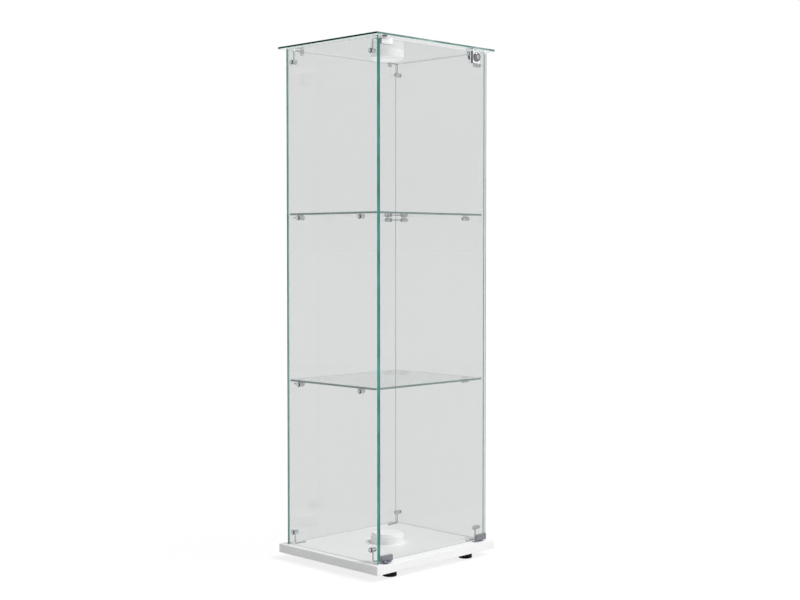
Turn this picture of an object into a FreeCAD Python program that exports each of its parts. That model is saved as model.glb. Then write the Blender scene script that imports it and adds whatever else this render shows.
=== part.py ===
import FreeCAD, Part
import math
import os

import Sketcher

# Frameless glass display cabinet: white base board on four feet, glass walls, top, two shelves and a door.
# Millimetres. The origin is on the floor under the middle of the plan, +Z is up and the door faces -Y.

SIZES = {
    # Overall form
    "plan_width": 425,
    "plan_depth": 365,
    "total_height": 1313,
    "overhang": 16,
    "glass": 5,
    "glass_arris": 0.6,
    "glass_corner": 4,
    "panel_corner": 1.5,
    "panel_gap": 0.3,
    "lower_clear_height": 421,
    "middle_clear_height": 420.5,
    "shelf_setback": 11.2,
    "shelf_gap": 1,
    # Base board and feet
    "base_thickness": 22,
    "base_corner": 2,
    "base_edge_round": 1,
    "foot_height": 17,
    "foot_radius": 18,
    "foot_taper": 1.5,
    "foot_side_inset": 75,
    "foot_front_inset": 34,
    "foot_floor_thickness": 7,
    "foot_screw_radius": 2,
    "foot_screw_head_radius": 4.2,
    "foot_screw_head_height": 2.6,
    "foot_screw_reach": 15,
    # Connector posts, their screws and the rods between them
    "post_radius": 6,
    "post_length": 15,
    "post_chamfer": 0.8,
    "ceiling_post_radius": 5.2,
    "ceiling_post_length": 13,
    "ceiling_pad_thickness": 0.5,
    "screw_radius": 2,
    "screw_head_radius": 5,
    "screw_head_height": 1.5,
    "grommet_flange": 0.8,
    "grommet_wall": 1.4,
    "grub_recess": 0.5,
    "grub_socket_radius": 1.1,
    "fit_clearance": 0.05,
    "rod_radius": 1.5,
    "rod_bend": 5,
    "rod_end_reach": 3,
    "bracket_front_inset": 27,
    "bracket_back_inset": 17,
    "base_post_height": 31,
    "top_post_drop": 33.5,
    "base_rod_run": 30,
    "top_rod_run": 28,
    "top_rod_drop": 3.5,
    "rod_eye_radius": 4.5,
    "rod_eye_thickness": 2,
    "rod_eye_gap": 0.4,
    "rod_screw_radius": 1.6,
    "rod_screw_head_radius": 3.4,
    "rod_screw_head_height": 2,
    "rod_screw_reach": 14,
    "corner_post_inset": 41,
    "shelf_peg_inset": 66,
    "post_flat_depth": 0.6,
    "shelf_pad_thickness": 1.2,
    "shelf_pad_length": 9,
    "shelf_pad_width": 4.4,
    "shelf_pad_corner": 0.5,
    # Door, hinge clips and pivots
    "door_hinge_gap": 4,
    "door_stop_gap": 3,
    "clip_gap": 3.5,
    "clip_length": 37,
    "clip_height": 15,
    "clip_cheek": 2,
    "clip_web": 1.5,
    "clip_liner": 0.5,
    "clip_edge_round": 0.6,
    "hinge_clip_inset": 13,
    "strike_clip_inset": 0.5,
    "clip_screw_radius": 2,
    "clip_screw_proud": 0.8,
    "pivot_inset": 20.5,
    "pivot_forward": 6.2,
    "pivot_radius": 2.5,
    "pivot_depth": 4.3,
    "pivot_head_radius": 3.3,
    "pivot_head_height": 1.4,
    "pivot_play": 0.3,
    "lug_radius": 4.8,
    "lug_reach": 14,
    "lug_corner": 3,
    "lug_thickness": 1.8,
    "bush_flange_radius": 5.5,
    "bush_wall": 1.6,
    "magnet_radius": 5,
    "magnet_depth": 8,
    "magnet_gap": 0.4,
    "magnet_rim": 0.8,
    # Lock
    "lock_inset": 46.5,
    "lock_drop": 19,
    "lock_plate_width": 27,
    "lock_plate_height": 32,
    "lock_plate_corner": 2.5,
    "lock_plate_thickness": 7,
    "lock_boss_radius": 12,
    "lock_boss_height": 6,
    "lock_boss_round": 2.4,
    "lock_barrel_radius": 8,
    "lock_barrel_clearance": 0.3,
    "lock_plug_radius": 5.5,
    "lock_plug_recess": 0.6,
    "lock_nut_width": 22,
    "lock_nut_thickness": 3,
    "lock_tail": 3.5,
    "key_slot_width": 1.6,
    "key_slot_length": 7,
    "key_slot_depth": 6,
    "cam_play": 0.3,
    "cam_thickness": 2,
    "cam_width": 11,
    "cam_corner": 4.5,
    "cam_reach": 15.5,
    "cam_neck_radius": 3,
    "cam_screw_radius": 1.5,
    "cam_screw_head_radius": 4.5,
    "cam_screw_head_height": 1.8,
    "cam_screw_reach": 6,
    "strike_gap": 0.6,
    "strike_thickness": 2,
    "strike_width": 14,
    "strike_drop": 10,
    "strike_depth": 10,
    # Battery puck lights
    "light_radius": 41,
    "light_height": 26,
    "light_wall": 2.5,
    "light_back_thickness": 2.5,
    "light_rim_round": 1.5,
    "light_lip_depth": 6,
    "light_lens_proud": 5,
    "light_lens_wall": 1.8,
    "light_lens_round": 2.5,
    "light_lens_gap": 0.4,
    "light_lens_flange": 2.2,
    "light_standoff_radius": 2,
    "light_standoff_circle": 30,
    "light_board_radius": 33,
    "light_board_thickness": 1.6,
    "light_board_gap": 0.3,
    "light_press": 2,
    "light_switch_width": 6,
    "light_led_radius": 2.5,
    "light_led_height": 1.8,
    "light_led_circle": 20,
    "battery_radius": 5.25,
    "battery_length": 43.5,
    "battery_tip_radius": 1.9,
    "battery_tip_height": 1,
    "battery_gap": 0.3,
    # Shared allowance past the faces that a cut goes through
    "cut_overrun": 1,
}

STANDOFF_COUNT = 3
LED_COUNT = 3
BATTERY_COUNT = 3


# A number kept together with the expression that ties it to the sheet.
class Size:
    def __init__(self, number, text):
        self.number = number
        self.text = text

    def __add__(self, other):
        other = as_size(other)
        return Size(self.number + other.number, f"({self.text} + {other.text})")

    def __sub__(self, other):
        other = as_size(other)
        return Size(self.number - other.number, f"({self.text} - {other.text})")

    def __mul__(self, factor):
        return Size(self.number * factor, f"({self.text} * {factor})")

    def __truediv__(self, divisor):
        return Size(self.number / divisor, f"({self.text} / {divisor})")

    def __neg__(self):
        return Size(-self.number, f"(0 - {self.text})")

    __rmul__ = __mul__


def as_size(value):
    return value if isinstance(value, Size) else Size(value, str(value))


doc = FreeCAD.newDocument("display_cabinet")


def make_sheet():
    sheet = doc.addObject("Spreadsheet::Sheet", "Sizes")
    for row, (name, number) in enumerate(SIZES.items(), start=1):
        sheet.set(f"A{row}", name)
        sheet.set(f"B{row}", str(number))
        sheet.setAlias(f"B{row}", name)
    doc.recompute()


class Sheet:
    def __getattr__(self, name):
        return Size(float(SIZES[name]), f"Sizes.{name}")


make_sheet()
s = Sheet()

# Main planes and levels
half_x = s.plan_width / 2 - s.overhang
half_y = s.plan_depth / 2 - s.overhang
inner_x = half_x - s.glass
inner_y = half_y - s.glass
base_top = s.foot_height + s.base_thickness
ceiling = s.total_height - s.glass
lower_shelf_z = base_top + s.lower_clear_height
upper_shelf_z = lower_shelf_z + s.glass + s.middle_clear_height
shelf_front = s.shelf_setback - half_y

# Connector posts: a grommet flange stands between post and glass, and a rod crosses each post at mid length
post_seat_x = inner_x - s.grommet_flange
post_seat_y = inner_y - s.grommet_flange
rod_line_x = post_seat_x - s.post_length / 2
rod_line_y = post_seat_y - s.post_length / 2
bracket_front_y = s.bracket_front_inset - half_y
bracket_back_y = half_y - s.bracket_back_inset
base_post_z = base_top + s.base_post_height
top_post_z = ceiling - s.top_post_drop
corner_post_x = half_x - s.corner_post_inset
corner_post_y = half_y - s.corner_post_inset
peg_y = s.shelf_peg_inset - half_y
shelf_post_drop = s.shelf_pad_thickness + s.post_radius - s.post_flat_depth
glass_hole_radius = s.screw_radius + s.grommet_wall

# Door and pivot
door_left = s.door_hinge_gap - inner_x
door_edge_gap = s.clip_gap + s.clip_web + s.clip_liner
pivot_x = s.pivot_inset - half_x
pivot_y = -half_y - s.pivot_forward
hinge_clip_x = s.hinge_clip_inset - half_x
strike_clip_x = half_x - s.strike_clip_inset - s.clip_length
lower_clip_z = base_top + s.clip_gap
upper_clip_z = ceiling - s.clip_gap
magnet_x = strike_clip_x + s.clip_length / 2
door_middle_y = s.glass / 2 - half_y
bush_radius = s.pivot_radius + s.fit_clearance + s.bush_wall

# Lock
lock_x = half_x - s.lock_inset
lock_z = ceiling - s.lock_drop
lock_hole_radius = s.lock_barrel_radius + s.lock_barrel_clearance
lock_bore_radius = s.lock_plug_radius + s.fit_clearance
lock_face = s.lock_plate_thickness + s.lock_boss_height
lock_back = s.glass + s.lock_nut_thickness + s.lock_tail
cam_front = lock_back + s.cam_play
cam_back = cam_front + s.cam_thickness

# Directions: where a piece's own X, Y and Z axes point
RIGHT = FreeCAD.Vector(1, 0, 0)
BACK = FreeCAD.Vector(0, 1, 0)
UP = FreeCAD.Vector(0, 0, 1)


def turn(x_axis, z_axis):
    return FreeCAD.Rotation(x_axis, z_axis.cross(x_axis), z_axis, "XYZ")


AS_DRAWN = turn(RIGHT, UP)
HALF_TURN = turn(-RIGHT, UP)
DOWNWARD = turn(RIGHT, -UP)
DOWNWARD_LEFT = turn(-RIGHT, -UP)
FROM_LEFT_WALL = turn(BACK, RIGHT)
FROM_RIGHT_WALL = turn(-BACK, -RIGHT)
FACING_FRONT = turn(RIGHT, -BACK)
TO_BACK_RIGHT = turn(RIGHT, BACK)
TO_BACK_LEFT = turn(-RIGHT, BACK)


# Sketch helpers
def bind(item, prop, size):
    item.setExpression(prop, as_size(size).text)


def place(item, x, y, z, rotation=AS_DRAWN):
    item.Placement = FreeCAD.Placement(FreeCAD.Vector(0, 0, 0), rotation)
    for axis, size in zip("xyz", (x, y, z)):
        bind(item, f"Placement.Base.{axis}", size)
    return item


def new_body(label):
    body = doc.addObject("PartDesign::Body", label)
    body.Label = label
    return body


def new_sketch(body, name, plane, offset=None):
    sketch = body.newObject("Sketcher::SketchObject", f"{body.Name}_{name}")
    origin = [feature for feature in body.Origin.OriginFeatures if feature.Role == plane]
    sketch.AttachmentSupport = [(origin[0], "")]
    sketch.MapMode = "FlatFace"
    if offset is not None:
        bind(sketch, "AttachmentOffset.Base.z", offset)
    return sketch


def constrain(sketch, kind, *where, size):
    index = sketch.addConstraint(Sketcher.Constraint(kind, *where, as_size(size).number))
    bind(sketch, f"Constraints[{index}]", size)


def fix_point(sketch, geometry, end, u, v):
    for kind, axis, size in (("DistanceX", -2, as_size(u)), ("DistanceY", -1, as_size(v))):
        if size.text == "0":
            sketch.addConstraint(Sketcher.Constraint("PointOnObject", geometry, end, axis))
        else:
            constrain(sketch, kind, -1, 1, geometry, end, size=size)


def flat(u, v):
    return FreeCAD.Vector(as_size(u).number, as_size(v).number, 0)


def draw_outline(sketch, points):
    first = sketch.GeometryCount
    count = len(points)
    for index, point in enumerate(points):
        following = points[(index + 1) % count]
        sketch.addGeometry(Part.LineSegment(flat(*point), flat(*following)))
    for index, point in enumerate(points):
        line = first + index
        after = first + (index + 1) % count
        sketch.addConstraint(Sketcher.Constraint("Coincident", line, 2, after, 1))
        fix_point(sketch, line, 1, *point)


def draw_circle(sketch, u, v, radius):
    index = sketch.addGeometry(Part.Circle(flat(u, v), UP, as_size(radius).number))
    constrain(sketch, "Radius", index, size=radius)
    if as_size(u).text == "0" and as_size(v).text == "0":
        sketch.addConstraint(Sketcher.Constraint("Coincident", index, 3, -1, 1))
    else:
        fix_point(sketch, index, 3, u, v)


def draw_rounded(sketch, left, right, low, high, radius):
    left, right, low, high, radius = (as_size(size) for size in (left, right, low, high, radius))
    first = sketch.GeometryCount
    sides = [
        (left + radius, low, right - radius, low),
        (right, low + radius, right, high - radius),
        (right - radius, high, left + radius, high),
        (left, high - radius, left, low + radius),
    ]
    centres = [
        (right - radius, low + radius),
        (right - radius, high - radius),
        (left + radius, high - radius),
        (left + radius, low + radius),
    ]
    for u0, v0, u1, v1 in sides:
        sketch.addGeometry(Part.LineSegment(flat(u0, v0), flat(u1, v1)))
    for quarter, (u, v) in enumerate(centres):
        circle = Part.Circle(flat(u, v), UP, radius.number)
        start = (quarter - 1) * math.pi / 2
        sketch.addGeometry(Part.ArcOfCircle(circle, start, start + math.pi / 2))
    for quarter in range(4):
        line = first + quarter
        arc = first + 4 + quarter
        after = first + (quarter + 1) % 4
        sketch.addConstraint(Sketcher.Constraint("Tangent", line, 2, arc, 1))
        sketch.addConstraint(Sketcher.Constraint("Tangent", arc, 2, after, 1))
        sketch.addConstraint(Sketcher.Constraint("Vertical" if quarter % 2 else "Horizontal", line))
        constrain(sketch, "Radius", arc, size=radius)
    constrain(sketch, "DistanceY", -1, 1, first, 1, size=low)
    constrain(sketch, "DistanceX", -1, 1, first + 1, 1, size=right)
    constrain(sketch, "DistanceY", -1, 1, first + 2, 1, size=high)
    constrain(sketch, "DistanceX", -1, 1, first + 3, 1, size=left)


# Feature helpers
def add_pad(body, sketch, length, reverse=False):
    pad = body.newObject("PartDesign::Pad", f"{sketch.Name}_pad")
    pad.Profile = sketch
    pad.Reversed = reverse
    bind(pad, "Length", length)
    doc.recompute()
    return pad


def add_pocket(body, sketch, depth, reverse=False, both_ways=False):
    volume = body.Shape.Volume
    pocket = body.newObject("PartDesign::Pocket", f"{sketch.Name}_cut")
    pocket.Profile = sketch
    pocket.Reversed = reverse
    pocket.Midplane = both_ways
    bind(pocket, "Length", depth)
    doc.recompute()
    if body.Shape.Volume >= volume:
        raise RuntimeError(f"{sketch.Name} cuts nothing")
    return pocket


def edge_names(shape, picked):
    return [f"Edge{number}" for number, edge in enumerate(shape.Edges, start=1) if picked(edge)]


def soften(body, kind, size, picked):
    base = body.Tip
    feature = body.newObject(f"PartDesign::{kind}", f"{body.Name}_{kind.lower()}")
    feature.Base = (base, edge_names(base.Shape, picked))
    bind(feature, "Size" if kind == "Chamfer" else "Radius", size)
    doc.recompute()


def rim_of_faces(shape, direction):
    rims = []
    for face in shape.Faces:
        if abs(face.normalAt(0, 0).dot(direction)) > 0.999:
            rims.extend(face.OuterWire.Edges)
    return lambda edge: any(edge.isSame(rim) for rim in rims)


def circle_at(radius, height):
    def picked(edge):
        curve = edge.Curve
        return (
            isinstance(curve, Part.Circle)
            and math.isclose(curve.Radius, radius.number, abs_tol=1e-4)
            and math.isclose(curve.Center.z, height.number, abs_tol=1e-4)
        )

    return picked


PLANE_NORMALS = {"XY_Plane": UP, "XZ_Plane": BACK, "YZ_Plane": RIGHT}


def make_plate(label, plane, left, right, low, high, thickness, corner, holes=()):
    body = new_body(label)
    sketch = new_sketch(body, "outline", plane)
    draw_rounded(sketch, left, right, low, high, corner)
    for hole in holes:
        draw_circle(sketch, *hole)
    add_pad(body, sketch, thickness)
    return body


def make_glass(label, plane, left, right, low, high, corner, holes=()):
    body = make_plate(label, plane, left, right, low, high, s.glass, corner, holes)
    soften(body, "Chamfer", s.glass_arris, rim_of_faces(body.Tip.Shape, PLANE_NORMALS[plane]))
    return body


def make_turned(label, outline):
    body = new_body(label)
    sketch = new_sketch(body, "profile", "XZ_Plane")
    draw_outline(sketch, outline)
    revolution = body.newObject("PartDesign::Revolution", f"{label}_turn")
    revolution.Profile = sketch
    revolution.ReferenceAxis = (sketch, ["V_Axis"])
    doc.recompute()
    return body


def make_extruded(label, outline, length):
    body = new_body(label)
    sketch = new_sketch(body, "section", "YZ_Plane")
    draw_outline(sketch, outline)
    add_pad(body, sketch, length)
    return body


# A rod that rises along its own Z, turns through the bend and runs out along its own X
def make_bent_rod(label, rise, run):
    body = new_body(label)
    path = new_sketch(body, "path", "XZ_Plane")
    rise, run, bend = as_size(rise), as_size(run), s.rod_bend
    path.addGeometry(Part.LineSegment(flat(0, 0), flat(0, rise - bend)))
    circle = Part.Circle(flat(bend, rise - bend), UP, bend.number)
    path.addGeometry(Part.ArcOfCircle(circle, math.pi / 2, math.pi))
    path.addGeometry(Part.LineSegment(flat(bend, rise), flat(run, rise)))
    path.addConstraint(Sketcher.Constraint("Coincident", 0, 1, -1, 1))
    path.addConstraint(Sketcher.Constraint("Vertical", 0))
    path.addConstraint(Sketcher.Constraint("Horizontal", 2))
    path.addConstraint(Sketcher.Constraint("Tangent", 0, 2, 1, 2))
    path.addConstraint(Sketcher.Constraint("Tangent", 1, 1, 2, 1))
    constrain(path, "Radius", 1, size=bend)
    constrain(path, "DistanceX", -1, 1, 2, 2, size=run)
    constrain(path, "DistanceY", -1, 1, 2, 2, size=rise)
    section = new_sketch(body, "section", "XY_Plane")
    draw_circle(section, 0, 0, s.rod_radius)
    pipe = body.newObject("PartDesign::AdditivePipe", f"{label}_sweep")
    pipe.Profile = section
    pipe.Spine = (path, ["Edge1", "Edge2", "Edge3"])
    doc.recompute()
    return body


def make_group(label, copies):
    links = []
    for number, (master, x, y, z, rotation) in enumerate(copies, start=1):
        link = doc.addObject("App::Link", f"{label}_{number}")
        link.LinkedObject = master
        links.append(place(link, x, y, z, rotation))
    group = doc.addObject("Part::Compound", label)
    group.Label = label
    group.Links = links
    doc.recompute()
    return group


# Where the connector posts stand, each with the direction that it points in
def wall_places(levels, places_y):
    found = []
    for z in levels:
        for y in places_y:
            found.append((-post_seat_x, y, z, FROM_LEFT_WALL))
            found.append((post_seat_x, y, z, FROM_RIGHT_WALL))
    return found


def back_places(levels):
    found = []
    for z in levels:
        found.append((-corner_post_x, post_seat_y, z, FACING_FRONT))
        found.append((corner_post_x, post_seat_y, z, FACING_FRONT))
    return found


def stand(master, places):
    return [(master, *where) for where in places]


bracket_ys = (bracket_front_y, bracket_back_y)
shelf_levels = [lower_shelf_z - shelf_post_drop, upper_shelf_z - shelf_post_drop]
base_places = wall_places([base_post_z], bracket_ys)
top_places = wall_places([top_post_z], bracket_ys)
ceiling_places = [
    (side * (rod_line_x - s.top_rod_run), y, ceiling - s.ceiling_pad_thickness, DOWNWARD)
    for side in (-1, 1)
    for y in bracket_ys
]


def corner_places(level):
    return wall_places([level], [corner_post_y]) + back_places([level])


def peg_places(level):
    return wall_places([level], [peg_y])


# Wall, top, shelf and door glass
def make_side_panel(label, x, front):
    holes = [(y, level, glass_hole_radius) for level in shelf_levels for y in (peg_y, corner_post_y)]
    holes += [(y, level, glass_hole_radius) for level in (base_post_z, top_post_z) for y in bracket_ys]
    panel = make_glass(label, "YZ_Plane", front, half_y, base_top, ceiling, s.panel_corner, holes)
    return place(panel, x, 0, 0)


def make_back_panel():
    edge = inner_x - s.panel_gap
    holes = [(side * corner_post_x, z, glass_hole_radius) for side in (-1, 1) for z in shelf_levels]
    panel = make_glass("back_panel", "XZ_Plane", -edge, edge, base_top, ceiling, s.panel_corner, holes)
    return place(panel, 0, half_y, 0)


def make_top_panel():
    holes = [(pivot_x, pivot_y, bush_radius + s.fit_clearance)]
    x, y = s.plan_width / 2, s.plan_depth / 2
    return place(make_glass("top_panel", "XY_Plane", -x, x, -y, y, s.glass_corner, holes), 0, 0, ceiling)


def make_shelf(label, z):
    edge = inner_x - s.shelf_gap
    back = inner_y - s.shelf_gap
    shelf = make_glass(label, "XY_Plane", -edge, edge, shelf_front, back, s.glass_corner)
    return place(shelf, 0, 0, z)


def make_door_glass():
    low = base_top + door_edge_gap
    high = ceiling - door_edge_gap
    holes = [(lock_x, lock_z, lock_hole_radius)]
    door = make_glass("door_glass", "XZ_Plane", door_left, half_x, low, high, s.panel_corner, holes)
    return place(door, 0, s.glass - half_y, 0)


# Base board: drawn with its top face at zero, drilled from above and below
foot_places = {
    "foot_front_left": (s.foot_side_inset - s.plan_width / 2, s.foot_front_inset - s.plan_depth / 2),
    "foot_front_right": (s.plan_width / 2 - s.foot_side_inset, s.foot_front_inset - s.plan_depth / 2),
    "foot_back_left": (s.foot_side_inset - s.plan_width / 2, s.plan_depth / 2 - s.foot_front_inset),
    "foot_back_right": (s.plan_width / 2 - s.foot_side_inset, s.plan_depth / 2 - s.foot_front_inset),
}
eye_x = rod_line_x - s.base_rod_run
eye_places = [(side * eye_x, y) for side in (-1, 1) for y in bracket_ys]


def make_base_board():
    x, y = s.plan_width / 2, s.plan_depth / 2
    body = new_body("base_board")
    outline = new_sketch(body, "outline", "XY_Plane")
    draw_rounded(outline, -x, x, -y, y, s.base_corner)
    add_pad(body, outline, s.base_thickness, reverse=True)
    soften(body, "Fillet", s.base_edge_round, rim_of_faces(body.Tip.Shape, UP))
    pilots = new_sketch(body, "rod_pilots", "XY_Plane")
    for eye in eye_places:
        draw_circle(pilots, *eye, s.rod_screw_radius + s.fit_clearance)
    add_pocket(body, pilots, s.rod_screw_reach + s.fit_clearance)
    seat = new_sketch(body, "bush_seat", "XY_Plane")
    draw_circle(seat, pivot_x, pivot_y, bush_radius + s.fit_clearance)
    add_pocket(body, seat, s.glass + s.fit_clearance)
    pocket = new_sketch(body, "magnet_seat", "XY_Plane")
    draw_circle(pocket, magnet_x, door_middle_y, s.magnet_radius + s.fit_clearance)
    add_pocket(body, pocket, s.magnet_depth)
    feet = new_sketch(body, "foot_pilots", "XY_Plane", -s.base_thickness)
    for spot in foot_places.values():
        draw_circle(feet, *spot, s.foot_screw_radius + s.fit_clearance)
    add_pocket(body, feet, s.foot_screw_reach + s.fit_clearance, reverse=True)
    return place(body, 0, 0, base_top)


# Feet: turned, with a counterbored hole for the screw that comes up from below
def make_foot(label, x, y):
    bore = s.foot_screw_radius + s.fit_clearance
    recess = s.foot_screw_head_radius + s.cut_overrun
    outline = [
        (bore, 0),
        (s.foot_radius - s.foot_taper, 0),
        (s.foot_radius, s.foot_taper - s.foot_height),
        (s.foot_radius - s.foot_taper, -s.foot_height),
        (recess, -s.foot_height),
        (recess, -s.foot_floor_thickness),
        (bore, -s.foot_floor_thickness),
    ]
    return place(make_turned(label, outline), x, y, s.foot_height)


# A screw turned about its own Z, which points the way that the screw is driven
def make_screw(label, radius, head_radius, head_height, reach):
    outline = [
        (0, -head_height),
        (head_radius - head_height / 2, -head_height),
        (head_radius, -head_height / 2),
        (head_radius, 0),
        (radius, 0),
        (radius, reach - radius / 2),
        (radius / 2, reach),
        (0, reach),
    ]
    return make_turned(label, outline)


def make_foot_screws():
    reach = s.foot_floor_thickness + s.foot_screw_reach
    sizes = (s.foot_screw_radius, s.foot_screw_head_radius, s.foot_screw_head_height)
    screw = make_screw("foot_screw", *sizes, reach)
    seat = s.foot_height - s.foot_floor_thickness
    return make_group("foot_screws", [(screw, x, y, seat, AS_DRAWN) for x, y in foot_places.values()])


# Connector posts: drilled along the axis for screw and grub, and across it for the rod
def make_post(label, radius, length, rod_plane=None, rod_at=None, flat_depth=None):
    bore = s.screw_radius + s.fit_clearance
    outline = [
        (bore, 0),
        (radius, 0),
        (radius, length - s.post_chamfer),
        (radius - s.post_chamfer, length),
        (bore, length),
    ]
    body = make_turned(label, outline)
    if rod_plane:
        hole = new_sketch(body, "rod_hole", rod_plane)
        draw_circle(hole, 0, rod_at, s.rod_radius + s.fit_clearance)
        add_pocket(body, hole, 2 * (radius + s.cut_overrun), both_ways=True)
    if flat_depth:
        seat = new_sketch(body, "pad_seat", "XY_Plane")
        low, high = radius - flat_depth, radius + s.cut_overrun
        draw_outline(seat, [(-radius, low), (radius, low), (radius, high), (-radius, high)])
        add_pocket(body, seat, length + s.cut_overrun, reverse=True)
    return body


def make_posts():
    size = (s.post_radius, s.post_length)
    middle = s.post_length / 2
    bracket = make_post("bracket_post", *size, "XZ_Plane", middle)
    corner = make_post("corner_post", *size, "YZ_Plane", middle, s.post_flat_depth)
    peg = make_post("shelf_peg", *size, flat_depth=s.post_flat_depth)
    ceiling_size = (s.ceiling_post_radius, s.ceiling_post_length)
    hanger = make_post("ceiling_post", *ceiling_size, "YZ_Plane", s.top_rod_drop - s.ceiling_pad_thickness)
    lower, upper = shelf_levels
    return [
        make_group("base_posts", stand(bracket, base_places)),
        make_group("top_posts", stand(bracket, top_places)),
        make_group("ceiling_posts", stand(hanger, ceiling_places)),
        make_group("lower_shelf_posts", stand(corner, corner_places(lower)) + stand(peg, peg_places(lower))),
        make_group("upper_shelf_posts", stand(corner, corner_places(upper)) + stand(peg, peg_places(upper))),
    ]


def all_wall_posts():
    found = base_places + top_places
    for level in shelf_levels:
        found = found + corner_places(level) + peg_places(level)
    return found


# Clear grommets line the glass holes, and the screws come through them from outside
def make_grommets():
    bore = s.screw_radius + s.fit_clearance
    sleeve = glass_hole_radius - s.fit_clearance
    outline = [
        (bore, -s.grommet_flange - s.glass),
        (sleeve, -s.grommet_flange - s.glass),
        (sleeve, -s.grommet_flange),
        (s.post_radius, -s.grommet_flange),
        (s.post_radius, 0),
        (bore, 0),
    ]
    return make_group("panel_grommets", stand(make_turned("grommet", outline), all_wall_posts()))


def make_panel_screws():
    reach = s.post_length / 2 - s.rod_radius - s.fit_clearance
    under_head = -s.grommet_flange - s.glass
    head = under_head - s.screw_head_height
    rim = s.screw_head_radius - s.screw_head_height / 2
    outline = [
        (0, head),
        (rim, head),
        (s.screw_head_radius, under_head - s.screw_head_height / 2),
        (s.screw_head_radius, under_head),
        (s.screw_radius, under_head),
        (s.screw_radius, reach),
        (0, reach),
    ]
    return make_group("panel_screws", stand(make_turned("panel_screw", outline), all_wall_posts()))


# A headless screw from one height to another, with a round socket in its far end
def make_grub(label, radius, low, high):
    depth = (high - low) / 2
    outline = [
        (0, low),
        (radius, low),
        (radius, high),
        (s.grub_socket_radius, high),
        (s.grub_socket_radius, high - depth),
        (0, high - depth),
    ]
    return make_turned(label, outline)


def make_post_grubs():
    reach = s.rod_radius + s.fit_clearance
    wall_ends = (s.post_length / 2 + reach, s.post_length - s.grub_recess)
    wall_grub = make_grub("wall_grub", s.screw_radius, *wall_ends)
    rod_at = s.top_rod_drop - s.ceiling_pad_thickness
    hanger_ends = (rod_at + reach, s.ceiling_post_length - s.grub_recess)
    hanger_grub = make_grub("hanger_grub", s.screw_radius, *hanger_ends)
    clamped = base_places + top_places
    for level in shelf_levels:
        clamped = clamped + corner_places(level)
    return make_group("post_grubs", stand(wall_grub, clamped) + stand(hanger_grub, ceiling_places))


def make_ceiling_pads():
    pad = make_turned("ceiling_pad", [
        (0, -s.ceiling_pad_thickness),
        (s.ceiling_post_radius, -s.ceiling_pad_thickness),
        (s.ceiling_post_radius, 0),
        (0, 0),
    ])
    return make_group("ceiling_pads", stand(pad, ceiling_places))


def make_shelf_pads():
    length, width = s.shelf_pad_length / 2, s.shelf_pad_width / 2
    sides = (-length, length, -width, width)
    pad = make_plate("shelf_pad", "XY_Plane", *sides, s.shelf_pad_thickness, s.shelf_pad_corner)
    middle = s.post_length / 2
    copies = []
    for shelf_z in (lower_shelf_z, upper_shelf_z):
        z = shelf_z - s.shelf_pad_thickness
        for side in (-1, 1):
            for y in (peg_y, corner_post_y):
                copies.append((pad, side * (post_seat_x - middle), y, z, AS_DRAWN))
            copies.append((pad, side * corner_post_x, post_seat_y - middle, z, turn(BACK, UP)))
    return make_group("shelf_pads", copies)


# Bent rods: base rods end in a screwed eye, top rods in the ceiling posts, corner rods join two posts
SIDES = {"left": -1, "right": 1}
ENDS = {"front": bracket_front_y, "back": bracket_back_y}


def make_base_rod(label, side, y):
    rise = s.base_post_height + s.rod_end_reach - s.rod_radius
    short_of_head = s.rod_screw_head_radius + s.rod_eye_gap
    body = make_bent_rod(label, rise, s.base_rod_run - short_of_head)
    eye = new_sketch(body, "eye", "XY_Plane", rise + s.rod_radius - s.rod_eye_thickness)
    draw_circle(eye, s.base_rod_run, 0, s.rod_eye_radius)
    add_pad(body, eye, s.rod_eye_thickness)
    hole = new_sketch(body, "eye_hole", "XY_Plane", rise - s.rod_radius)
    draw_circle(hole, s.base_rod_run, 0, s.rod_screw_radius + s.fit_clearance)
    add_pocket(body, hole, 2 * s.rod_radius, reverse=True)
    rotation = DOWNWARD if side < 0 else DOWNWARD_LEFT
    return place(body, side * rod_line_x, y, base_post_z + s.rod_end_reach, rotation)


def make_top_rod(label, side, y):
    rise = s.top_post_drop + s.rod_end_reach - s.top_rod_drop
    body = make_bent_rod(label, rise, s.top_rod_run + s.rod_end_reach)
    rotation = AS_DRAWN if side < 0 else HALF_TURN
    return place(body, side * rod_line_x, y, top_post_z - s.rod_end_reach, rotation)


def make_corner_rod(label, side, z):
    rise = rod_line_y - corner_post_y + s.rod_end_reach
    run = rod_line_x - corner_post_x + s.rod_end_reach
    body = make_bent_rod(label, rise, run)
    rotation = TO_BACK_RIGHT if side < 0 else TO_BACK_LEFT
    return place(body, side * rod_line_x, corner_post_y - s.rod_end_reach, z, rotation)


def make_rods():
    rods = []
    for side_name, side in SIDES.items():
        for end_name, y in ENDS.items():
            rods.append(make_base_rod(f"base_rod_{end_name}_{side_name}", side, y))
            rods.append(make_top_rod(f"top_rod_{end_name}_{side_name}", side, y))
        for shelf_name, z in zip(("lower", "upper"), shelf_levels):
            rods.append(make_corner_rod(f"{shelf_name}_corner_rod_{side_name}", side, z))
    return rods


def make_base_rod_screws():
    sizes = (s.rod_screw_radius, s.rod_screw_head_radius, s.rod_screw_head_height)
    screw = make_screw("rod_screw", *sizes, s.rod_eye_thickness + s.rod_screw_reach)
    top = base_top + s.rod_eye_thickness
    return make_group("base_rod_screws", [(screw, x, y, top, DOWNWARD) for x, y in eye_places])


# Door clips: a channel over the edge of the door, lined, and clamped by two screws from inside
slot_front = -s.clip_liner
slot_back = s.glass + s.clip_liner
clip_front = slot_front - s.clip_cheek
clip_back = slot_back + s.clip_cheek


def channel_outline(front, back, wall, web, height, way):
    return [
        (front - wall, 0),
        (back + wall, 0),
        (back + wall, way * height),
        (back, way * height),
        (back, way * web),
        (front, way * web),
        (front, way * height),
        (front - wall, way * height),
    ]


clip_screw_height = s.clip_web + (s.clip_height - s.clip_web) / 2


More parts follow.
